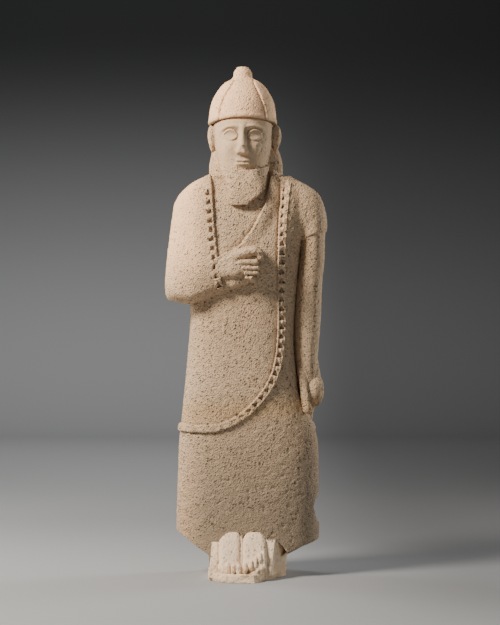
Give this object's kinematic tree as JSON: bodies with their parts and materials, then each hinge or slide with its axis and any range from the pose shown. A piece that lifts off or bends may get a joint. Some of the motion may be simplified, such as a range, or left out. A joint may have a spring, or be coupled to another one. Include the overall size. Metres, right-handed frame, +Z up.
{
  "type": "limestone votary statue",
  "caption": "Standing bearded worshipper carved in limestone, in a pointed cap and a fringed mantle, a closed hand on the chest, on a broken plinth",
  "frame": {"origin": "on the flat underside of the plinth, below the middle of the robe", "axes": "+Z up, the figure faces -Y, its own right side is at -X"},
  "size_m": [0.3179, 0.203, 1],
  "materials": {
    "limestone": "weathered carved surface, matte, finely pitted"
  },
  "bodies": {
    "root": {"worshipper": "limestone"}
  },
  "joints": []
}
